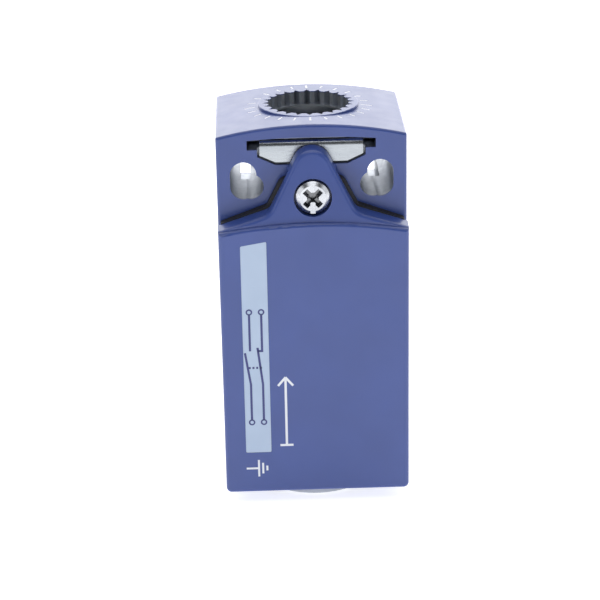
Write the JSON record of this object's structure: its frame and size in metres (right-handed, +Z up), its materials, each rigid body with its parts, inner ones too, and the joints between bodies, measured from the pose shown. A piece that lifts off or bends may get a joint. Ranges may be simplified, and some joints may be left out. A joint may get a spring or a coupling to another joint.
{
  "type": "limit switch body",
  "caption": "Compact metal limit switch body with a hinged screw-down cover, a toothed socket and lock clip for a turnable head, slotted fixing holes and a threaded cable entry.",
  "frame": {"origin": "on the rear mounting face, midway between the two fixing holes", "axes": "+Z up towards the head socket, +Y to the rear out of the mounting face, +X across the switch, to the right as seen from the cover side"},
  "size_m": [0.031, 0.03, 0.0654],
  "materials": {
    "cast_paint": "semi-gloss blue-violet paint over die-cast zinc",
    "cover_paint": "semi-gloss blue-violet paint over die-cast zinc",
    "seal_rubber": "matt black nitrile rubber",
    "zinc_plated_steel": "bright zinc plating",
    "grey_nylon": "natural moulded nylon",
    "spring_steel": "bright rolled strip steel",
    "white_acetal": "smooth moulded acetal",
    "spring_wire": "drawn spring wire",
    "black_block": "fine moulded texture",
    "grey_block": "fine moulded texture",
    "red_carrier": "smooth moulded plastic",
    "contact_brass": "rolled brass strip",
    "contact_silver": "silver alloy rivets",
    "earth_screw_steel": "zinc plated steel"
  },
  "bodies": {
    "housing": {"housing": "cast_paint", "cover_hinge_pins": "zinc_plated_steel", "plunger_seal": "seal_rubber", "spring_seat_washer": "spring_steel", "plunger_spring": "spring_wire", "carrier_spring": "spring_wire", "contact_block_base": "black_block", "contact_block_cover": "grey_block", "contact_block_screws": "zinc_plated_steel", "nc_fixed_contacts": "contact_brass", "no_fixed_contacts": "contact_brass", "fixed_contact_tips": "contact_silver", "terminal_screws": "zinc_plated_steel", "terminal_clamps": "zinc_plated_steel", "earth_screw": "earth_screw_steel", "earth_clamp": "zinc_plated_steel"},
    "cover": {"front_cover": "cover_paint", "cover_gasket": "seal_rubber"},
    "captive_washer": {"cover_screw_washer": "grey_nylon"},
    "cover_screw": {"cover_screw": "zinc_plated_steel"},
    "head_lock_clip": {"head_lock_clip": "spring_steel"},
    "plunger": {"plunger": "white_acetal"},
    "contact_carrier": {"contact_carrier": "red_carrier", "nc_bridge": "contact_brass", "no_bridge": "contact_brass", "nc_contact_spring": "spring_wire", "no_contact_spring": "spring_wire", "moving_contact_tips": "contact_silver"}
  },
  "joints": [
    {"name": "cover_hinge", "type": "hinge", "parent": "housing", "child": "cover", "pos_m": [0, -0.0284, -0.05155], "axis": [1, 0, 0], "range_deg": [0, 90]},
    {"name": "cover_screw_travel", "type": "slide", "parent": "cover", "child": "captive_washer", "axis": [0, -1, 0], "range_m": [0, 0.002]},
    {"name": "cover_screw_turn", "type": "hinge", "parent": "captive_washer", "child": "cover_screw", "pos_m": [0, -0.0268, -0.00095], "axis": [0, -1, 0], "range_deg": [0, 1441]},
    {"name": "head_lock_slide", "type": "slide", "parent": "housing", "child": "head_lock_clip", "axis": [0, -1, 0], "range_m": [0, 0.012]},
    {"name": "plunger_travel", "type": "slide", "parent": "housing", "child": "plunger", "axis": [0, 0, -1], "range_m": [0, 0.0035], "stiffness_N_per_m": 700, "springref_m": -0.003, "deforming": ["plunger_spring"]},
    {"name": "contact_travel", "type": "slide", "parent": "housing", "child": "contact_carrier", "axis": [0, 0, -1], "range_m": [0, 0.0035], "stiffness_N_per_m": 250, "springref_m": -0.004, "deforming": ["carrier_spring"]}
  ],
  "couplings": [
    {"joint": "cover_screw_turn", "follows": "cover_screw_travel", "rad_per_m": 12566},
    {"joint": "head_lock_slide", "follows": "cover_hinge", "m_per_rad": 0.0076394},
    {"joint": "contact_travel", "follows": "plunger_travel", "ratio": 1}
  ]
}
